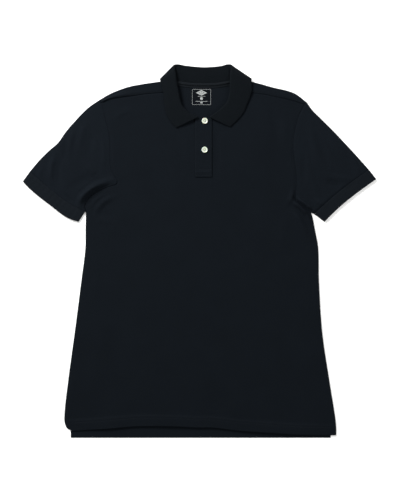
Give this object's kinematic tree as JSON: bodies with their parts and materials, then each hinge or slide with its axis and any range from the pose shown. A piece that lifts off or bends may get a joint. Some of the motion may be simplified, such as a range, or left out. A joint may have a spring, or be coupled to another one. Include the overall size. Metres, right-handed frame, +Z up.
{
  "type": "polo shirt",
  "caption": "Dark navy short-sleeved polo shirt with a knitted collar, buttoned placket and rib cuffs, lying flat on its back.",
  "frame": {"origin": "middle of the bounding box at the surface that the shirt lies on", "axes": "+X to the sleeve on the right seen from above, +Y from the tail to the collar, +Z up off the surface"},
  "size_m": [0.706, 0.7459, 0.0146],
  "materials": {
    "body_cloth": "navy cotton pique, matt",
    "rib_knit": "navy knitted rib, matt",
    "tape": "navy twill tape",
    "neck_print": "printed square on the back's inside",
    "buttons": "cream, polished"
  },
  "bodies": {
    "root": {"back_panel": "body_cloth", "front_panel": "body_cloth", "placket_outer": "body_cloth", "placket_under": "body_cloth", "sleeve_left": "body_cloth", "sleeve_right": "body_cloth", "cuff_left": "rib_knit", "cuff_right": "rib_knit", "collar": "rib_knit", "neck_tape": "tape", "neck_print": "neck_print", "button_top": "buttons", "button_bottom": "buttons"}
  },
  "joints": []
}
